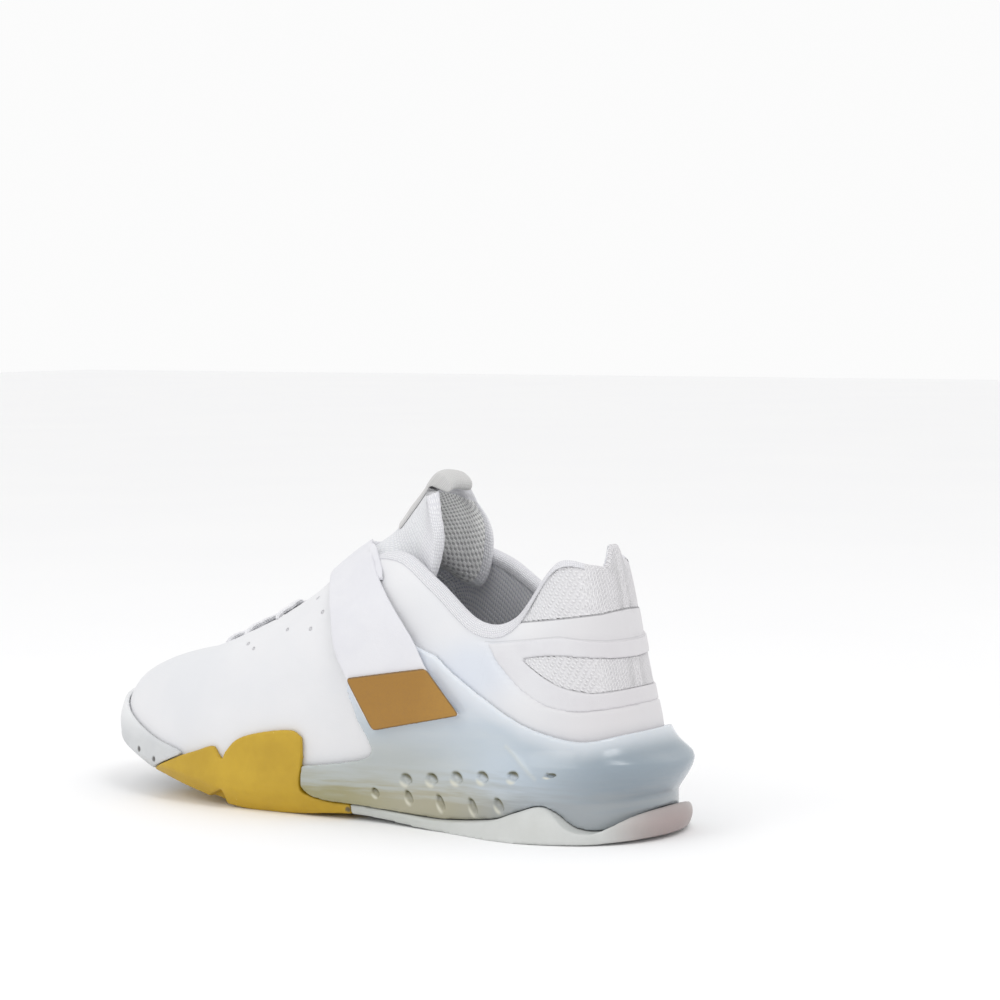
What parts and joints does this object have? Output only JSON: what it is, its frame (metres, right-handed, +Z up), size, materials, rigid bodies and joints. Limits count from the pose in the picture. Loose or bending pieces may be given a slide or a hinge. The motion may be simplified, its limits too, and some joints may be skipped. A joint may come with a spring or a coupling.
{
  "type": "weightlifting shoe",
  "caption": "Left weightlifting shoe: hollow low upper with a strap over the instep, stiff raised heel in a pointed shell, wrapped forefoot rubber and a separate toe rubber.",
  "frame": {"origin": "on the floor, under the middle of the heel's flat tread, on the shoe's centre line", "axes": "+X towards the toe, +Y to the outer side of the left foot, +Z up"},
  "size_m": [0.2907, 0.1017, 0.1439],
  "materials": {
    "upper": "smooth matt synthetic film over knit",
    "insole": "matt textile",
    "tongue": "ribbed knit, matt",
    "tongue_pull": "woven webbing, matt",
    "midsole_core": "matt foam",
    "midsole_cage": "translucent ice blue, satin to glossy",
    "outsole_heel": "matt",
    "outsole_forefoot": "matt",
    "toe_rubber": "matt",
    "heel_counter": "satin film",
    "strap": "smooth matt synthetic film",
    "strap_patch": "satin bronze gold",
    "laces": "woven, matt"
  },
  "bodies": {
    "root": {"upper": "upper", "insole": "insole", "tongue": "tongue", "tongue_pull": "tongue_pull", "midsole_core": "midsole_core", "midsole_cage": "midsole_cage", "outsole_heel": "outsole_heel", "outsole_forefoot": "outsole_forefoot", "toe_rubber": "toe_rubber", "heel_counter": "heel_counter", "strap": "strap", "strap_patch": "strap_patch", "laces": "laces"}
  },
  "joints": []
}
